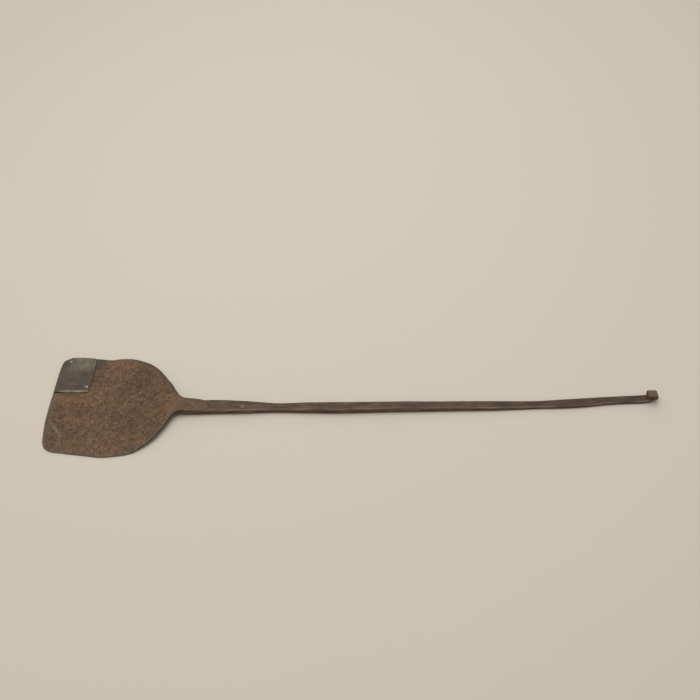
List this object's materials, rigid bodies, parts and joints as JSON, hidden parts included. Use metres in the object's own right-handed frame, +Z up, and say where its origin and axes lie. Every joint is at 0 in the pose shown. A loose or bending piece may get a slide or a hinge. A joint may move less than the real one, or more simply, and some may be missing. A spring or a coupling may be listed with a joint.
{
  "type": "iron spatula",
  "caption": "Long-handled hand-forged iron spatula with a broad, round-heeled blade, a lapped repair patch on one front corner and a rolled hanging eye.",
  "frame": {"origin": "middle of the underside of the whole object, on the surface that it lies on", "axes": "+X along the handle from the blade to the rolled eye, +Y to the side with the repair patch, +Z up"},
  "size_m": [0.6156, 0.1224, 0.0115],
  "materials": {
    "rusty_blade": "coarse, pitted orange-brown rust over dark hammered wrought iron",
    "forged_bar": "dark brown forged iron, rubbed smooth by handling, with streaks along its length",
    "patch_iron": "worn grey iron sheet, paler and smoother than the blade",
    "rivet_iron": "peened iron, rubbed brighter on the heads"
  },
  "bodies": {
    "root": {"blade_plate": "rusty_blade", "handle_bar": "forged_bar", "corner_patch": "patch_iron", "patch_rivets": "rivet_iron"}
  },
  "joints": []
}
